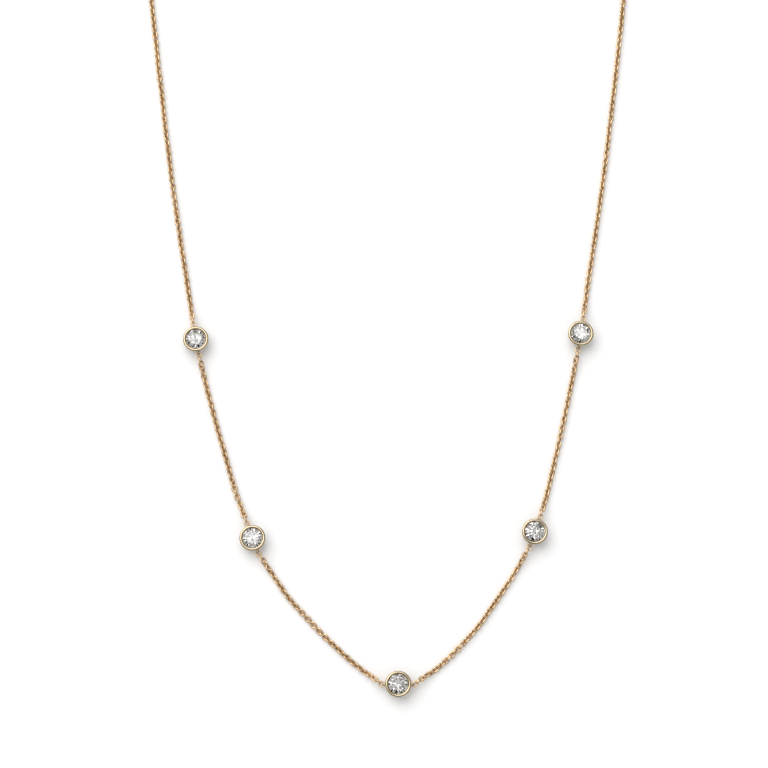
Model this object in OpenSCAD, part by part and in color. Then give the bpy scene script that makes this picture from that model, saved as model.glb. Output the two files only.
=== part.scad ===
// Station necklace: a fine cable chain with five round stones in bezel settings, lying flat as a closed loop.
// Millimetres. +Z is up from the surface it lies on, +Y runs from the middle stone towards the clasp.

/* [Stones] */
// Diameter of each round stone at its girdle
stone_d = 3.8; // [3.4:0.05:4.2]
// Width of the flat table on top of a stone
table_d = 2.15; // [1.8:0.05:2.4]
// Height of the crown, from the girdle up to the table
crown_h = 0.57; // [0.45:0.01:0.7]
// Depth of the pavilion, from the girdle down to the point
pavilion_h = 1.62; // [1.4:0.01:1.75]
// Thickness of the girdle band
girdle_h = 0.1; // [0.06:0.01:0.16]
// Air left between a stone and its setting
stone_gap = 0.04; // [0.02:0.01:0.08]

/* [Bezels] */
// Thickness of metal outside the stone at the rim
bezel_wall = 0.3; // [0.22:0.01:0.4]
// Radius of the rounded lip
lip_r = 0.28; // [0.2:0.01:0.3]
// Width of the flat back of a bezel
base_d = 3.4; // [3:0.05:3.8]
// Width of the open hole in the back
back_hole_d = 2.2; // [1.8:0.05:2.4]
// Height of the stone's point above the surface
culet_z = 0.3; // [0.2:0.01:0.5]

/* [Chain] */
// Thickness of the chain's wire
wire_d = 0.25; // [0.2:0.01:0.28]
// Outer width of one chain link
link_w = 1.15; // [1:0.01:1.3]
// Outer width of the small loops soldered to the bezels and the clasp
loop_d = 1.06; // [1:0.01:1.2]
// Thickness of the wire of those loops
loop_wire = 0.3; // [0.24:0.01:0.32]
// Height of the soldered loops above the surface
loop_z = 1.2; // [1:0.01:1.4]
// Outer width of the oval link at each end of a chain
end_link_w = 1; // [0.96:0.01:1.1]
// Outer length of that link
end_link_l = 1.3; // [1.26:0.01:1.5]
// Air left between neighbouring pieces of the chain
link_gap = 0.1; // [0.08:0.01:0.12]
// Distance over which a raised chain end comes down to the surface
ramp_l = 3.5; // [3:0.1:5]

/* [Clasp] */
// Outer width of the spring ring clasp
clasp_d = 5.6; // [5:0.1:6]
// Thickness of the clasp's tube
clasp_wire = 1; // [0.8:0.05:1.1]
// Thickness of the spring tongue that closes the clasp
tongue_wire = 0.72; // [0.6:0.02:0.76]
// Outer width of the ring that the clasp closes on
ring_d = 2.8; // [2.6:0.05:3.2]
// Thickness of that ring's wire
ring_wire = 0.36; // [0.3:0.02:0.4]

/* [Hidden] */
station_count = 5;
chain_count = station_count + 1;
end_link_count = 2 * chain_count;
gold = [0.87, 0.70, 0.46];
clear = [0.93, 0.94, 0.96];

// Where each station lies: x, y, and the heading of the chain through it in degrees
STATIONS = [
    [-33.3, -34.9, -79],
    [-23.1, -69.8, -69],
    [1.8, -94.7, 0],
    [25.2, -68.7, 70],
    [33.6, -33.9, 80]
];
// The chosen points of the chain's route. The long sides share one list, from the back down to the first stone.
SIDE = [[43.5, 37], [42.4, 28], [40.3, 11], [38.1, -5.7], [35.5, -22.2]];
BETWEEN = [
    [[-31.3, -43.7], [-28.3, -54.3], [-26.1, -61.7]],
    [[-18.4, -77.7], [-16.5, -80.3], [-11.7, -85.5], [-6.3, -90.6]],
    [[9.9, -90.6], [14.8, -85.5], [18.6, -80.3], [22, -75.1]],
    [[27.5, -61.7], [29.3, -54.3], [31.7, -43.7]]
];
// The round part behind the neck, and the clasp at its middle
neck_r = 46;
neck_y = 48.5;
neck_first = 104;
neck_last = 172;
neck_step = 17;
clasp_x = -0.4;
clasp_drop = 0.3;
clasp_y = neck_y + neck_r - clasp_drop;
clasp_heading = 7;
tongue_half_angle = 34;
lever_angle = 50;
ring_gap = 7;

stone_r = stone_d / 2;
girdle_z = culet_z + pavilion_h;
crown_z = girdle_z + girdle_h;
table_z = crown_z + crown_h;
crown_slope = crown_h / (stone_r - table_d / 2);
pavilion_slope = pavilion_h / stone_r;
rim_r = stone_r + stone_gap + bezel_wall;
lip_z = crown_z + lip_r / 2;
back_r = back_hole_d / 2;
wire_r = wire_d / 2;
loop_ring_r = (loop_d - loop_wire) / 2;
loop_hole_r = loop_ring_r - loop_wire / 2;
neck_wire_r = loop_wire * 0.45;
end_half_l = end_link_l / 2 - wire_r;
end_half_w = end_link_w / 2 - wire_r;
// A bezel's loop stands upright, sunk a little into the tapered wall
loop_wall_x = base_d / 2 + (rim_r - base_d / 2) * loop_z / lip_z;
loop_x = loop_wall_x + loop_ring_r - loop_wire / 4;
// Links lean 45 degrees to either side in turn, which gives the chain its width and height
chain_half = (link_w - wire_d) / 2 * cos(45) + wire_r;
chain_corner = (link_w - wire_d) / 2 * cos(45) + wire_r * tan(22.5);
clasp_r = clasp_d / 2 - clasp_wire / 2;
clasp_tilt = asin((ring_wire + link_gap) / (2 * clasp_r));
clasp_loop_z = max(clasp_wire / 2, end_link_w / 2 + link_gap / 2);
clasp_loop_x = clasp_wire / 2 + link_gap / 2 + loop_d / 2;
clasp_left_x = clasp_x - clasp_r * cos(clasp_tilt);
clasp_right_x = clasp_x + clasp_r * cos(clasp_tilt);
ring_r = ring_d / 2 - ring_wire / 2;

function heading(a) = [cos(a), sin(a)];
function direction(v) = atan2(v[1], v[0]);
function station(k) = STATIONS[k - 1];
function station_xy(k) = [station(k)[0], station(k)[1]];
function mirrored(points) = [for (p = points) [-p[0], p[1]]];
function reversed(list) = [for (i = [len(list) - 1 : -1 : 0]) list[i]];

// A hook is where an end link goes through a loop or ring: place, direction away, height, and how far the hole
// reaches from that place. A station's end link swings about the outer wire of its loop, short of which the hole ends.
function station_hook(k, way, towards) =
    let (at = station_xy(k) + (loop_x + loop_ring_r) * way * heading(station(k)[2]))
    [at, direction(towards - at), loop_z, -loop_wire / 2];
function clasp_hook() =
    [[clasp_left_x - clasp_loop_x, clasp_y], 180 + clasp_heading, clasp_loop_z, loop_hole_r];
function ring_hook() =
    [[clasp_right_x, clasp_y], -clasp_heading, ring_d / 2, ring_r - ring_wire / 2];
// End links 1 and 12 are at the clasp, and 2k and 2k + 1 are on either side of station k.
function hook(n) =
    n == 1 ? clasp_hook()
    : n == end_link_count ? ring_hook()
    : station_hook(floor(n / 2), n % 2 == 0 ? -1 : 1, nearest_point(n));
// The chain pulls each station's end link towards the nearest chosen point of its route.
function nearest_point(n) =
    let (middle = chain_middle(ceil(n / 2)))
    middle[n % 2 == 1 ? 0 : len(middle) - 1];
function end_link_reach(h) = h[3] - link_gap - wire_r + end_half_l;
function end_link_xy(n) = let (h = hook(n)) h[0] + end_link_reach(h) * heading(h[1]);
function chain_end(n) =
    let (h = hook(n))
    h[0] + (end_link_reach(h) + end_link_l / 2 + link_gap) * heading(h[1]);

NECK = [for (a = [neck_first : neck_step : neck_last]) [0, neck_y] + neck_r * heading(a)];
function chain_middle(k) =
    k == 1 ? concat(NECK, mirrored(SIDE))
    : k == chain_count ? concat(reversed(SIDE), mirrored(reversed(NECK)))
    : BETWEEN[k - 2];
function chain_points(k) = concat([chain_end(2 * k - 1)], chain_middle(k), [chain_end(2 * k)]);

// A smooth curve through the chosen points, with rings about ring_gap apart
function curve(a, b, c, d, t) =
    0.5 * (2 * b + (c - a) * t + (2 * a - 5 * b + 4 * c - d) * t * t + (3 * b - a - 3 * c + d) * t * t * t);
function span_point(p, i, t) =
    let (last = len(p) - 1)
    let (before = i > 0 ? p[i - 1] : 2 * p[0] - p[1])
    let (after = i + 2 <= last ? p[i + 2] : 2 * p[last] - p[last - 1])
    curve(before, p[i], p[i + 1], after, t);
function along(p) = concat(
    [for (i = [0 : len(p) - 2])
        let (steps = max(1, round(norm(p[i + 1] - p[i]) / ring_gap)))
        for (s = [0 : steps - 1]) span_point(p, i, s / steps)],
    [p[len(p) - 1]]
);
function eased(t) = let (u = min(1, max(0, t))) u * u * (3 - 2 * u);
function height(xy, from, to, from_z, to_z) =
    chain_half
    + (from_z - chain_half) * (1 - eased(norm(xy - from) / ramp_l))
    + (to_z - chain_half) * (1 - eased(norm(xy - to) / ramp_l));
function lifted(flat, n) =
    let (last = flat[len(flat) - 1])
    [for (xy = flat) concat(xy, height(xy, flat[0], last, hook(n)[2], hook(n + 1)[2]))];
// Extra rings close to each end follow the ramp
function with_ramps(flat) =
    let (last = len(flat) - 1)
    let (first_way = (flat[1] - flat[0]) / norm(flat[1] - flat[0]))
    let (last_way = (flat[last - 1] - flat[last]) / norm(flat[last - 1] - flat[last]))
    concat(
        [flat[0], flat[0] + first_way * ramp_l / 2],
        [for (i = [1 : last - 1]) flat[i]],
        [flat[last] + last_way * ramp_l / 2, flat[last]]
    );

SECTION = [
    [chain_half, -chain_corner], [chain_half, chain_corner],
    [chain_corner, chain_half], [-chain_corner, chain_half],
    [-chain_half, chain_corner], [-chain_half, -chain_corner],
    [-chain_corner, -chain_half], [chain_corner, -chain_half]
];
// Square to the end link at both ends, and to the route between them
function side_way(points, i, first_way, last_way) =
    let (last = len(points) - 1)
    let (step = points[min(i + 1, last)] - points[max(i - 1, 0)])
    let (way = i == 0 ? first_way : i == last ? last_way : [step[0], step[1]])
    [way[1], -way[0]] / norm(way);

module tube(points, first_way, last_way) {
    sides = len(SECTION);
    rings = len(points);
    verts = [for (i = [0 : rings - 1]) let (w = side_way(points, i, first_way, last_way))
        for (s = SECTION) points[i] + [w[0] * s[0], w[1] * s[0], s[1]]];
    walls = [for (i = [0 : rings - 2]) for (j = [0 : sides - 1])
        let (a = i * sides + j)
        let (b = i * sides + (j + 1) % sides)
        for (f = [[a, a + sides, b], [b, a + sides, b + sides]]) f];
    first = [for (j = [0 : sides - 1]) j];
    last = [for (j = [sides - 1 : -1 : 0]) (rings - 1) * sides + j];
    polyhedron(points = verts, faces = concat(walls, [first], [last]));
}

module ring(ring_radius, thick) {
    rotate_extrude($fn = 48)
        translate([ring_radius, 0]) circle(d = thick, $fn = 24);
}

// A round brilliant cut: table, 8 stars, 8 kites, 16 upper and 16 lower girdle facets, and 8 pavilion mains
module brilliant() {
    star_r = stone_r * 0.77;
    star_z = table_z - (star_r * cos(22.5) - table_d / 2) * crown_slope;
    lower_r = stone_r * 0.24;
    lower_z = culet_z + lower_r * cos(22.5) * pavilion_slope;
    eighth = [0 : 7];
    sixteenth = [0 : 15];
    verts = concat(
        [for (k = eighth) concat(table_d / 2 * heading(45 * k), table_z)],
        [for (k = eighth) concat(star_r * heading(45 * k + 22.5), star_z)],
        [for (k = sixteenth) concat(stone_r * heading(22.5 * k), crown_z)],
        [for (k = sixteenth) concat(stone_r * heading(22.5 * k), girdle_z)],
        [for (k = eighth) concat(lower_r * heading(45 * k + 22.5), lower_z)],
        [[0, 0, culet_z]]
    );
    star = 8;
    upper = 16;
    lower = 32;
    low_star = 48;
    point = 56;
    table_face = [[for (k = [7 : -1 : 0]) k]];
    stars = [for (k = eighth) [k, (k + 1) % 8, star + k]];
    kites = [for (k = eighth) [k, star + k, upper + 2 * k, star + (k + 7) % 8]];
    upper_halves = [for (k = eighth)
        for (h = [0, 1]) [star + k, upper + (2 * k + h + 1) % 16, upper + 2 * k + h]];
    band = [for (k = sixteenth) [upper + k, upper + (k + 1) % 16, lower + (k + 1) % 16, lower + k]];
    lower_halves = [for (k = eighth)
        for (h = [0, 1]) [low_star + k, lower + 2 * k + h, lower + (2 * k + h + 1) % 16]];
    mains = [for (k = eighth) [point, low_star + (k + 7) % 8, lower + 2 * k, low_star + k]];
    polyhedron(
        points = verts,
        faces = concat(table_face, stars, kites, upper_halves, band, lower_halves, mains)
    );
}

// The cup in section: a tapered wall with a rounded lip, cut by the stone's seat and the open back
module bezel_section() {
    seat_r = stone_r + stone_gap;
    seat_z = girdle_z - stone_gap;
    seat_low_z = seat_z - (seat_r - back_r) * pavilion_slope;
    grip_r = stone_r * 0.8;
    difference() {
        union() {
            polygon([[0, 0], [base_d / 2, 0], [rim_r, lip_z], [0, lip_z]]);
            translate([rim_r - lip_r, lip_z]) circle(r = lip_r, $fn = 48);
        }
        polygon([
            [-1, -1], [back_r, -1], [back_r, seat_low_z], [seat_r, seat_z],
            [seat_r, crown_z + stone_gap],
            [grip_r, crown_z + stone_gap + (seat_r - grip_r) * crown_slope], [-1, table_z + 1]
        ]);
    }
}

module soldered_loop(from_x, at_x) {
    translate([at_x, 0, 0]) ring(loop_ring_r, loop_wire);
    translate([from_x, 0, 0])
        rotate([0, 90, 0])
            cylinder(r = neck_wire_r, h = at_x - loop_ring_r - from_x, $fn = 24);
}

module bezel(k) {
    color(gold)
        translate([station(k)[0], station(k)[1], 0])
            rotate(station(k)[2]) {
                rotate_extrude($fn = 96) bezel_section();
                for (way = [-1, 1])
                    translate([way * loop_x, 0, loop_z]) rotate([90, 0, 0]) ring(loop_ring_r, loop_wire);
            }
}

module stone(k) {
    color(clear)
        translate([station(k)[0], station(k)[1], 0])
            rotate(station(k)[2] + 11 * k) brilliant();
}

module chain(k) {
    first = 2 * k - 1;
    flat = with_ramps(along(chain_points(k)));
    color(gold) tube(lifted(flat, first), heading(hook(first)[1]), -heading(hook(first + 1)[1]));
}

// A link of round wire with straight sides and half-round ends
module oval_link(half_l, half_w, thick) {
    straight = half_l - half_w;
    for (way = [0, 180])
        rotate(way) {
            translate([straight, 0, 0]) arc(half_w, thick, -90, 90);
            translate([-straight, half_w, 0])
                rotate([0, 90, 0])
                    cylinder(d = thick, h = 2 * straight, $fn = 32);
        }
}

// Each end link lies across the loop or ring that it goes through. Only the clasp's loop lies flat.
module end_link(n) {
    lean = n == 1 ? 90 : 0;
    color(gold)
        translate([end_link_xy(n)[0], end_link_xy(n)[1], hook(n)[2]])
            rotate([0, 0, hook(n)[1]])
                rotate([lean, 0, 0]) oval_link(end_half_l, end_half_w, wire_d);
}

module arc(ring_radius, thick, from, to) {
    rotate(from)
        rotate_extrude(angle = to - from, $fn = 96)
            translate([ring_radius, 0]) circle(d = thick, $fn = 32);
}

// The small knob that draws the tongue back
module lever() {
    stem_r = clasp_wire * 0.24;
    knob_r = stem_r * 1.15;
    knob_reach = clasp_r + clasp_wire / 2 + stem_r;
    rotate(lever_angle) {
        translate([clasp_r, 0, 0])
            rotate([0, 90, 0])
                cylinder(r = stem_r, h = knob_reach - clasp_r, $fn = 24);
        translate([knob_reach, 0, 0]) sphere(r = knob_r, $fn = 24);
    }
}

// A spring ring clasp, closed, in one piece with its tongue, its lever and its soldered loop
module clasp() {
    color(gold) {
        translate([clasp_left_x, clasp_y, clasp_wire / 2])
            rotate([0, -clasp_tilt, 0])
                translate([clasp_r, 0, 0]) {
                    arc(clasp_r, clasp_wire, tongue_half_angle, 360 - tongue_half_angle);
                    arc(clasp_r, tongue_wire, -tongue_half_angle - 2, tongue_half_angle + 2);
                    lever();
                }
        translate([clasp_left_x, clasp_y, clasp_loop_z])
            rotate(180) soldered_loop(0, clasp_loop_x);
    }
}

module clasp_ring() {
    color(gold)
        translate([clasp_right_x, clasp_y, ring_d / 2])
            rotate([90, 0, -clasp_heading]) ring(ring_r, ring_wire);
}

for (k = [1 : station_count]) {
    bezel(k);
    stone(k);
}
for (k = [1 : chain_count])
    chain(k);
for (n = [1 : end_link_count])
    end_link(n);
clasp();
clasp_ring();
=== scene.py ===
"""Looks for the station necklace: five bezel-set stones on a fine cable chain, lying on a white table."""

import math
import random

import bpy
import numpy as np
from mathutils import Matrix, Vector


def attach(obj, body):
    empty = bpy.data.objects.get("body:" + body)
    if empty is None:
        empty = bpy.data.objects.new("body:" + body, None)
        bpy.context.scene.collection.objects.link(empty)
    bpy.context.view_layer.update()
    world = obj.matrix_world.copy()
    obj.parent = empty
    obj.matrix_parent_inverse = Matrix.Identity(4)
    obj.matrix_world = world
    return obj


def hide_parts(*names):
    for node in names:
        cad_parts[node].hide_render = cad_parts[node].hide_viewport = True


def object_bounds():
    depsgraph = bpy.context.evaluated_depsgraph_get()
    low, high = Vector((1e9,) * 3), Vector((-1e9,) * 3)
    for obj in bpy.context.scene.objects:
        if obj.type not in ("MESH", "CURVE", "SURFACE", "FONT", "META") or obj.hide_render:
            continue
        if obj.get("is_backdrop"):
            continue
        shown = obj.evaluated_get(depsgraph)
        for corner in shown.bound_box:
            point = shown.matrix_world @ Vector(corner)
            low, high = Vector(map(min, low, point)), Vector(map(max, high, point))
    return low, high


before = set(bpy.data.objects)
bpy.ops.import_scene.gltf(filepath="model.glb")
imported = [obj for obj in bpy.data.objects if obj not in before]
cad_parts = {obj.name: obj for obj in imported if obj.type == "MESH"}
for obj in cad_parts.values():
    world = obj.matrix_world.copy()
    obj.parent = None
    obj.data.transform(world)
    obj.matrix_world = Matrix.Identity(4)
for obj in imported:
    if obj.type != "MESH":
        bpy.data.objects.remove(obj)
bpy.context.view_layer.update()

MM = 0.001
UP = np.array([0.0, 0.0, 1.0])

# The middle of what the photograph shows, in metres. The light and the cards are set round it
STAGE_Y = -0.04

# The camera first: the photograph looks down at the table, 12 degrees off the vertical
CAMERA_TILT = 12
CAMERA_DISTANCE = 450
AIM_X = -0.61
AIM_Y = -42.44
LENS = 121.3
SENSOR_WIDTH = 36
tilt = math.radians(CAMERA_TILT)
camera_data = bpy.data.cameras.new("camera")
camera_data.sensor_width = SENSOR_WIDTH
camera_data.lens = LENS
camera_data.clip_start = 0.01
camera_data.clip_end = 10
camera = bpy.data.objects.new("camera", camera_data)
bpy.context.scene.collection.objects.link(camera)
camera.location = (
    AIM_X * MM,
    (AIM_Y - CAMERA_DISTANCE * math.sin(tilt)) * MM,
    CAMERA_DISTANCE * math.cos(tilt) * MM,
)
camera.rotation_euler = (tilt, 0, 0)
bpy.context.scene.camera = camera

# Sizes in millimetres, the same as the part's source but for the links of the chains. Their wire is
# thicker, and they are narrower by so much that a chain is as wide as its tube in the source
WIRE_D = 0.25
WIRE_R = WIRE_D / 2
LINK_WIRE_R = 0.16
LINK_W = 1.12
LINK_L = 1.37
LINK_LEAN = 45
PITCH = 0.73
END_LINK_W = 1.0
END_LINK_L = 1.3
LINK_GAP = 0.1
LOOP_D = 1.06
LOOP_WIRE = 0.3
LOOP_Z = 1.2
RIM_R = 2.24
LIP_Z = 2.16
BASE_R = 1.7
LOOP_WALL_X = BASE_R + (RIM_R - BASE_R) * LOOP_Z / LIP_Z
LOOP_RING_R = (LOOP_D - LOOP_WIRE) / 2
LOOP_HOLE_R = LOOP_RING_R - LOOP_WIRE / 2
LOOP_X = LOOP_WALL_X + LOOP_RING_R - LOOP_WIRE / 4
RAMP_L = 3.5
TURN_L = 1.3
LINK_HALF_W = LINK_W / 2 - LINK_WIRE_R
LINK_HALF_L = LINK_L / 2 - LINK_WIRE_R
END_HALF_L = END_LINK_L / 2 - WIRE_R
CHAIN_HALF = LINK_HALF_W * math.cos(math.radians(LINK_LEAN)) + LINK_WIRE_R
STATIONS = [
    (-33.3, -34.9, -79),
    (-23.1, -69.8, -69),
    (1.8, -94.7, 0),
    (25.2, -68.7, 70),
    (33.6, -33.9, 80),
]
SIDE = [(43.5, 37), (42.4, 28), (40.3, 11), (38.1, -5.7), (35.5, -22.2)]
BETWEEN = [
    [(-31.3, -43.7), (-28.3, -54.3), (-26.1, -61.7)],
    [(-18.4, -77.7), (-16.5, -80.3), (-11.7, -85.5), (-6.3, -90.6)],
    [(9.9, -90.6), (14.8, -85.5), (18.6, -80.3), (22, -75.1)],
    [(27.5, -61.7), (29.3, -54.3), (31.7, -43.7)],
]
NECK_R = 46
NECK_Y = 48.5
NECK_ANGLES = (104, 121, 138, 155, 172)
CLASP_X = -0.4
CLASP_Y = 94.2
CLASP_HEADING = 7
CLASP_D = 5.6
CLASP_WIRE = 1.0
CLASP_R = (CLASP_D - CLASP_WIRE) / 2
RING_D = 2.8
RING_WIRE = 0.36
RING_R = (RING_D - RING_WIRE) / 2
CLASP_TILT = math.asin((RING_WIRE + LINK_GAP) / (2 * CLASP_R))
CLASP_LOOP_Z = END_LINK_W / 2 + LINK_GAP / 2
CLASP_LOOP_X = CLASP_WIRE / 2 + LINK_GAP / 2 + LOOP_D / 2
CHAIN_COUNT = 6
END_LINK_COUNT = 12


def way(angle):
    a = math.radians(angle)
    return np.array([math.cos(a), math.sin(a)])


def hook(n):
    """Where end link n goes through a loop or ring.

    Gives the place, the direction away from it, the height and how far the hole reaches from the place.
    """
    if n == 1:
        x = CLASP_X - CLASP_R * math.cos(CLASP_TILT) - CLASP_LOOP_X
        return np.array([x, CLASP_Y]), 180 + CLASP_HEADING, CLASP_LOOP_Z, LOOP_HOLE_R
    if n == END_LINK_COUNT:
        x = CLASP_X + CLASP_R * math.cos(CLASP_TILT)
        return np.array([x, CLASP_Y]), -CLASP_HEADING, RING_D / 2, RING_R - RING_WIRE / 2
    x, y, turn = STATIONS[n // 2 - 1]
    place = np.array([x, y]) + (LOOP_X + LOOP_RING_R) * way(turn + (180 if n % 2 == 0 else 0))
    middle = chain_middle((n + 1) // 2)
    pull = np.array(middle[0 if n % 2 else -1]) - place
    return place, math.degrees(math.atan2(pull[1], pull[0])), LOOP_Z, -LOOP_WIRE / 2


def chain_end(n):
    place, angle, _, hole_end = hook(n)
    reach = hole_end - LINK_GAP - WIRE_R + END_HALF_L
    return place + (reach + END_LINK_L / 2 + LINK_GAP) * way(angle)


def mirrored(points):
    return [(-x, y) for x, y in points]


def chain_middle(k):
    neck = [tuple(np.array([0, NECK_Y]) + NECK_R * way(a)) for a in NECK_ANGLES]
    if k == 1:
        return neck + mirrored(SIDE)
    if k == CHAIN_COUNT:
        return SIDE[::-1] + mirrored(neck[::-1])
    return BETWEEN[k - 2]


def chain_points(k):
    return [chain_end(2 * k - 1)] + [np.array(p) for p in chain_middle(k)] + [chain_end(2 * k)]


STEPS = 60


def route(k):
    """Chain k's centre line on the table, as close points with the distance along it."""
    p = chain_points(k)
    p = [2 * p[0] - p[1]] + p + [2 * p[-1] - p[-2]]
    out = []
    for i in range(1, len(p) - 2):
        a, b, c, d = p[i - 1:i + 3]
        for s in range(STEPS):
            t = s / STEPS
            out.append(0.5 * (2 * b + (c - a) * t + (2 * a - 5 * b + 4 * c - d) * t * t
                              + (3 * b - a - 3 * c + d) * t ** 3))
    out.append(p[-2])
    out = np.array(out)
    steps = np.linalg.norm(np.diff(out, axis=0), axis=1)
    return out, np.concatenate([[0], np.cumsum(steps)])


def eased(t):
    u = min(1.0, max(0.0, t))
    return u * u * (3 - 2 * u)


# One link's mesh, an oval of round wire, made once and copied along each chain
SIDES_ALONG = 26
SIDES_ROUND = 10


def oval(count, half_l, half_w):
    """Centre line of a link in its own plane, with the outward directions."""
    straight = half_l - half_w
    points = []
    outward = []
    for i in range(count):
        a = 2 * math.pi * (i + 0.5) / count
        points.append((half_w * math.cos(a) + math.copysign(straight, math.cos(a)), half_w * math.sin(a)))
        outward.append((math.cos(a), math.sin(a)))
    return np.array(points), np.array(outward)


def link_template():
    centre, outward = oval(SIDES_ALONG, LINK_HALF_L, LINK_HALF_W)
    verts = []
    for (x, y), (u, v) in zip(centre, outward):
        for j in range(SIDES_ROUND):
            b = 2 * math.pi * j / SIDES_ROUND
            r = LINK_WIRE_R * math.cos(b)
            verts.append((x + u * r, y + v * r, LINK_WIRE_R * math.sin(b)))
    faces = []
    for i in range(SIDES_ALONG):
        for j in range(SIDES_ROUND):
            i2 = (i + 1) % SIDES_ALONG
            j2 = (j + 1) % SIDES_ROUND
            faces.append((i * SIDES_ROUND + j, i2 * SIDES_ROUND + j,
                          i2 * SIDES_ROUND + j2, i * SIDES_ROUND + j2))
    return np.array(verts), np.array(faces)


TEMPLATE_VERTS, TEMPLATE_FACES = link_template()

# Where a chain lies twisted, so that its links show edge-on and face-on. Each has the chain, the distance
# along it, the angle in degrees and half the width of the place
TWISTS = [
    (2, 24.4, -45, 1.3),
    (3, 11.7, -25, 2.5),
    (4, 8.05, -45, 1.3),
]

# The slow twist of every chain: degrees, how slowly it comes and goes, and its shift from chain to chain
WANDER = [(12, 3.3, 2), (8, 1.9, 5)]

# How far a lying link strays at random: degrees of lean and heading, mm along the chain and sideways
LEAN_PLAY = 8
YAW_PLAY = 4
SLIDE_PLAY = 0.012
SWAY_PLAY = 0.03
SWAY_KEPT = 0.7
CHAIN_SEED = 100

# A link's heading is taken between two places this far before and after it
HEADING_STEP = 0.3


def twist(k, s):
    """Degrees by which chain k is turned about its own line at distance s."""
    wander = sum(angle * math.sin(s / slow + shift * k) for angle, slow, shift in WANDER)
    places = [place[1:] for place in TWISTS if place[0] == k]
    marked = sum(angle * math.exp(-((s - at) / wide) ** 2) for at, angle, wide in places)
    return wander + marked


def lying(s, length):
    """1 where a chain lies on the table, 0 at its raised ends."""
    return eased(s / RAMP_L) * eased((length - s) / RAMP_L)


def link_leans(k, spots, rng):
    """How far each link of chain k leans from lying flat, in radians. Neighbours lean to opposite sides."""
    length = spots[-1]
    first_lean = 0 if k == 1 else 90
    out = []
    for i, s in enumerate(spots):
        lean = LINK_LEAN if i % 2 == 0 else -LINK_LEAN
        end_turn = LINK_LEAN if (len(spots) - 1) % 2 == 0 else -LINK_LEAN
        lean += (first_lean - LINK_LEAN) * (1 - eased(s / TURN_L))
        lean += end_turn * (1 - eased((length - s) / TURN_L))
        lean += lying(s, length) * (rng.uniform(-LEAN_PLAY, LEAN_PLAY) + twist(k, s))
        out.append(math.radians(lean))
    return out


def link_rests(leans):
    """Height of each link's middle, at least as high as the wire of its neighbours carries it."""
    rests = [LINK_HALF_W * abs(math.sin(lean)) + LINK_WIRE_R for lean in leans]
    play = LINK_HALF_W - 2 * LINK_WIRE_R
    return [max([rests[i]] + [r - play for r in rests[max(i - 1, 0):i + 2]]) for i in range(len(rests))]


def chain_mesh(k):
    rng = random.Random(CHAIN_SEED + k)
    line, along = route(k)
    length = along[-1]
    count = round(length / PITCH) + 1
    spots = [i * length / (count - 1) for i in range(count)]
    leans = link_leans(k, spots, rng)
    rests = link_rests(leans)
    from_z = hook(2 * k - 1)[2]
    to_z = hook(2 * k)[2]

    def at(s):
        s = min(max(s, 0), length)
        return np.array([np.interp(s, along, line[:, 0]), np.interp(s, along, line[:, 1])])

    def lift(s):
        xy = at(s)
        start = (from_z - CHAIN_HALF) * (1 - eased(np.linalg.norm(xy - line[0]) / RAMP_L))
        end = (to_z - CHAIN_HALF) * (1 - eased(np.linalg.norm(xy - line[-1]) / RAMP_L))
        return start + end

    all_verts = []
    all_faces = []
    sway = 0.0
    for i, s in enumerate(spots):
        free = lying(s, length)
        turn = leans[i]
        sway = SWAY_KEPT * sway + rng.uniform(-SWAY_PLAY, SWAY_PLAY)
        s_here = s + free * rng.uniform(-SLIDE_PLAY, SLIDE_PLAY)
        before = s_here - HEADING_STEP
        after = s_here + HEADING_STEP
        flat = at(after) - at(before)
        slope = lift(after) - lift(before)
        tangent = np.array([flat[0], flat[1], slope])
        tangent /= np.linalg.norm(tangent)
        yaw = math.radians(free * rng.uniform(-YAW_PLAY, YAW_PLAY))
        tangent = np.array([
            tangent[0] * math.cos(yaw) - tangent[1] * math.sin(yaw),
            tangent[0] * math.sin(yaw) + tangent[1] * math.cos(yaw),
            tangent[2],
        ])
        side = np.cross(UP, tangent)
        side /= np.linalg.norm(side)
        top = np.cross(tangent, side)
        across = side * math.cos(turn) + top * math.sin(turn)
        normal = np.cross(tangent, across)
        xy = at(s_here)
        centre = np.array([xy[0], xy[1], free * rests[i] + (1 - free) * CHAIN_HALF + lift(s_here)])
        centre += side * sway * free
        verts = centre + TEMPLATE_VERTS[:, :1] * tangent
        verts = verts + TEMPLATE_VERTS[:, 1:2] * across
        verts = verts + TEMPLATE_VERTS[:, 2:] * normal
        all_verts.append(verts * MM)
        all_faces.append(TEMPLATE_FACES + i * len(TEMPLATE_VERTS))
    return np.concatenate(all_verts), np.concatenate(all_faces)


def add_mesh(name, verts, faces):
    mesh = bpy.data.meshes.new(name)
    mesh.from_pydata(verts.tolist(), [], faces.tolist())
    mesh.update()
    mesh.polygons.foreach_set("use_smooth", [True] * len(mesh.polygons))
    obj = bpy.data.objects.new(name, mesh)
    bpy.context.scene.collection.objects.link(obj)
    return obj


# Materials. The scales are those of the noise that varies a surface, and the depth is in metres
TONE_SCALE = 420
ROUGH_SCALE = 2600
DENT_SCALE = 5200
DENT_DEPTH = 0.00002
STONE_IOR = 2.42
STONE_TINT_SCALE = 900
STONE_POLISH_SCALE = 4000
STONE_ROUGHEST = 0.012


def node_tree(name):
    material = bpy.data.materials.new(name)
    material.use_nodes = True
    tree = material.node_tree
    tree.nodes.clear()
    shader = tree.nodes.new("ShaderNodeBsdfPrincipled")
    out = tree.nodes.new("ShaderNodeOutputMaterial")
    tree.links.new(shader.outputs["BSDF"], out.inputs["Surface"])
    return material, tree, shader


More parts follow.
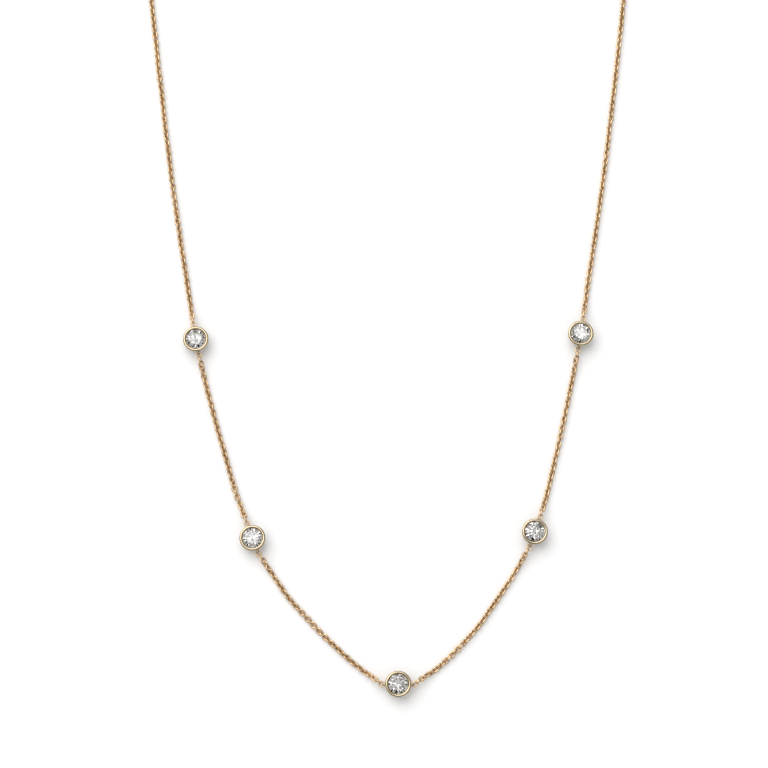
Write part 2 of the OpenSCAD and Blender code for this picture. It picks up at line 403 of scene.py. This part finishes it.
def noise(tree, scale, detail=3.0):
    coords = tree.nodes.new("ShaderNodeTexCoord")
    texture = tree.nodes.new("ShaderNodeTexNoise")
    texture.inputs["Scale"].default_value = scale
    texture.inputs["Detail"].default_value = detail
    tree.links.new(coords.outputs["Object"], texture.inputs["Vector"])
    return texture.outputs["Fac"]


def ramp(tree, factor, stops):
    node = tree.nodes.new("ShaderNodeValToRGB")
    tree.links.new(factor, node.inputs["Fac"])
    while len(node.color_ramp.elements) < len(stops):
        node.color_ramp.elements.new(0.5)
    for element, (place, colour) in zip(node.color_ramp.elements, stops):
        element.position = place
        element.color = (*colour, 1)
    return node.outputs["Color"]


def map_range(tree, factor, low, high):
    """Spreads the middle part of a noise from low to high."""
    node = tree.nodes.new("ShaderNodeMapRange")
    node.inputs["From Min"].default_value = 0.3
    node.inputs["From Max"].default_value = 0.7
    node.inputs["To Min"].default_value = low
    node.inputs["To Max"].default_value = high
    tree.links.new(factor, node.inputs["Value"])
    return node.outputs["Result"]


def gold(name, pale, deep, rough_low, rough_high, bump):
    material, tree, shader = node_tree(name)
    shader.inputs["Metallic"].default_value = 1.0
    tone = ramp(tree, noise(tree, TONE_SCALE, 2.0), [(0.35, deep), (0.65, pale)])
    tree.links.new(tone, shader.inputs["Base Color"])
    rough = map_range(tree, noise(tree, ROUGH_SCALE), rough_low, rough_high)
    tree.links.new(rough, shader.inputs["Roughness"])
    dents = tree.nodes.new("ShaderNodeBump")
    dents.inputs["Strength"].default_value = bump
    dents.inputs["Distance"].default_value = DENT_DEPTH
    tree.links.new(noise(tree, DENT_SCALE, 4.0), dents.inputs["Height"])
    tree.links.new(dents.outputs["Normal"], shader.inputs["Normal"])
    return material


def stone_material():
    material, tree, shader = node_tree("brilliant_stone")
    shader.inputs["Transmission Weight"].default_value = 1.0
    shader.inputs["IOR"].default_value = STONE_IOR
    stops = [(0.3, (0.85, 0.825, 0.79)), (0.7, (0.91, 0.89, 0.865))]
    tint = ramp(tree, noise(tree, STONE_TINT_SCALE, 2.0), stops)
    tree.links.new(tint, shader.inputs["Base Color"])
    polish = map_range(tree, noise(tree, STONE_POLISH_SCALE), 0.0, STONE_ROUGHEST)
    tree.links.new(polish, shader.inputs["Roughness"])
    return material


bezel_gold = gold("polished_bezel_gold", (0.61, 0.50, 0.345), (0.53, 0.43, 0.275), 0.08, 0.15, 0.10)
chain_gold = gold("drawn_wire_gold", (0.83, 0.61, 0.38), (0.70, 0.50, 0.29), 0.22, 0.34, 0.14)
clasp_gold = gold("clasp_gold", (0.70, 0.56, 0.37), (0.61, 0.48, 0.30), 0.14, 0.24, 0.12)
clear_stone = stone_material()


def dress(node, material):
    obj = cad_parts[node]
    obj.data.materials.clear()
    obj.data.materials.append(material)


for k in range(1, len(STATIONS) + 1):
    dress(f"bezel_{k}", bezel_gold)
    dress(f"stone_{k}", clear_stone)
for n in range(1, END_LINK_COUNT + 1):
    dress(f"end_link_{n}", chain_gold)
dress("clasp", clasp_gold)
dress("clasp_ring", clasp_gold)

for k in range(1, CHAIN_COUNT + 1):
    links = add_mesh(f"cable_links_{k}", *chain_mesh(k))
    links.data.materials.append(chain_gold)
    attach(links, "root")
    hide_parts(f"chain_{k}")


# The stage: a white table in a bright tent. Dark cards low around it give the polished metal its contrast,
# and thin cards above it put flecks in the stones
STAGE_ROUGHNESS = 0.9
STAGE_SPECULAR = 0.1


def stage_mesh(name, verts, faces, colour):
    mesh = bpy.data.meshes.new(name)
    mesh.from_pydata(verts, [], faces)
    obj = bpy.data.objects.new(name, mesh)
    bpy.context.scene.collection.objects.link(obj)
    material, _, shader = node_tree(name)
    shader.inputs["Base Color"].default_value = (*colour, 1)
    shader.inputs["Roughness"].default_value = STAGE_ROUGHNESS
    shader.inputs["Specular IOR Level"].default_value = STAGE_SPECULAR
    mesh.materials.append(material)
    obj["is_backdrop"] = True
    return obj


FLOOR_HALF = 1.5
TABLE_WHITE = (0.95, 0.95, 0.95)
stage_mesh(
    "table_top",
    [(-FLOOR_HALF, -FLOOR_HALF, 0), (FLOOR_HALF, -FLOOR_HALF, 0),
     (FLOOR_HALF, FLOOR_HALF, 0), (-FLOOR_HALF, FLOOR_HALF, 0)],
    [(0, 1, 2, 3)], TABLE_WHITE)


CARD_AWAY = 0.7
CARD_STEPS = 12
CARD_BLACK = (0.02, 0.018, 0.015)


def dark_card(name, from_angle, to_angle, low, high):
    """A curved card that only reflections see. The angles are degrees round the table and above it."""
    verts = []
    for i in range(CARD_STEPS + 1):
        a = math.radians(from_angle + (to_angle - from_angle) * i / CARD_STEPS)
        for lift in (low, high):
            z = CARD_AWAY * math.tan(math.radians(lift))
            verts.append((CARD_AWAY * math.cos(a), CARD_AWAY * math.sin(a) + STAGE_Y, z))
    faces = [(2 * i, 2 * i + 2, 2 * i + 3, 2 * i + 1) for i in range(CARD_STEPS)]
    card = stage_mesh(name, verts, faces, CARD_BLACK)
    card.visible_camera = False
    card.visible_diffuse = False
    card.visible_transmission = False
    card.visible_shadow = False


dark_card("card_right", -125, 55, 0, 42)
dark_card("card_left", 165, 235, 0, 34)
dark_card("card_back", 55, 110, 0, 34)

# The thin cards' angles above the table, low and high, and their widths are taken in turn
BLADE_AWAY = 0.6
BLADE_COUNT = 23
BLADE_COLOURS = [(0.02, 0.02, 0.02), (0.10, 0.08, 0.12), (0.03, 0.03, 0.03), (0.16, 0.15, 0.09)]
BLADE_LOWS = (34, 43, 52)
BLADE_HIGHS = (66, 72)
BLADE_WIDTHS = (0.05, 0.07, 0.09)
BLADE_SCATTER = 11

# A few more stand in front of the key light, as seen from the stones
KEY_BLADE_AZIMUTHS = (92, 106, 119, 132, 146, 160)
KEY_BLADE_LOWS = (32, 38)
KEY_BLADE_HIGHS = (72, 76)
KEY_BLADE_WIDTH = 0.07


def blade(name, azimuth, low, high, width, colour):
    """A thin card that only light passing through the stones sees. It puts flecks in their facets."""
    a = math.radians(azimuth)
    across = np.array([-math.sin(a), math.cos(a), 0]) * width / 2
    verts = []
    for lift in (low, high):
        e = math.radians(lift)
        middle = BLADE_AWAY * np.array([math.cos(a) * math.cos(e), math.sin(a) * math.cos(e), math.sin(e)])
        middle[1] += STAGE_Y
        verts += [tuple(middle - across), tuple(middle + across)]
    card = stage_mesh(name, verts, [(0, 1, 3, 2)], colour)
    card.visible_camera = False
    card.visible_diffuse = False
    card.visible_glossy = False
    card.visible_shadow = False


def in_turn(values, i):
    return values[i % len(values)]


for i in range(BLADE_COUNT):
    azimuth = 360 * i / BLADE_COUNT + BLADE_SCATTER * math.sin(3 * i)
    low = in_turn(BLADE_LOWS, i)
    high = in_turn(BLADE_HIGHS, i)
    blade(f"blade_{i + 1}", azimuth, low, high, in_turn(BLADE_WIDTHS, i), in_turn(BLADE_COLOURS, i))
for i, azimuth in enumerate(KEY_BLADE_AZIMUTHS):
    low = in_turn(KEY_BLADE_LOWS, i)
    high = in_turn(KEY_BLADE_HIGHS, i)
    blade(f"key_blade_{i + 1}", azimuth, low, high, KEY_BLADE_WIDTH, in_turn(BLADE_COLOURS, i))
blade("camera_shade", -90, 72, 84, 0.12, (0.02, 0.02, 0.02))

WORLD_STRENGTH = 0.74
KEY_PLACE = (-0.42, 0.54, 0.98)
KEY_AIM = (0, STAGE_Y, 0)
KEY_SIZE = 1.5
KEY_POWER = 9.9

world = bpy.data.worlds.new("studio")
world.use_nodes = True
bpy.context.scene.world = world
background = world.node_tree.nodes["Background"]
background.inputs["Color"].default_value = (1, 1, 1, 1)
background.inputs["Strength"].default_value = WORLD_STRENGTH


def soft_light(name, place, aim, size, power):
    data = bpy.data.lights.new(name, "AREA")
    data.shape = "DISK"
    data.size = size
    data.energy = power
    light = bpy.data.objects.new(name, data)
    bpy.context.scene.collection.objects.link(light)
    light.location = place
    back = np.array(place) - np.array(aim)
    yaw = math.atan2(back[1], back[0])
    drop = math.atan2(math.hypot(back[0], back[1]), back[2])
    light.rotation_euler = (0, drop, yaw)


soft_light("key_upper_left", KEY_PLACE, KEY_AIM, KEY_SIZE, KEY_POWER)

scene = bpy.context.scene
scene.view_settings.view_transform = "Standard"
scene.view_settings.look = "None"

low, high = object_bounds()
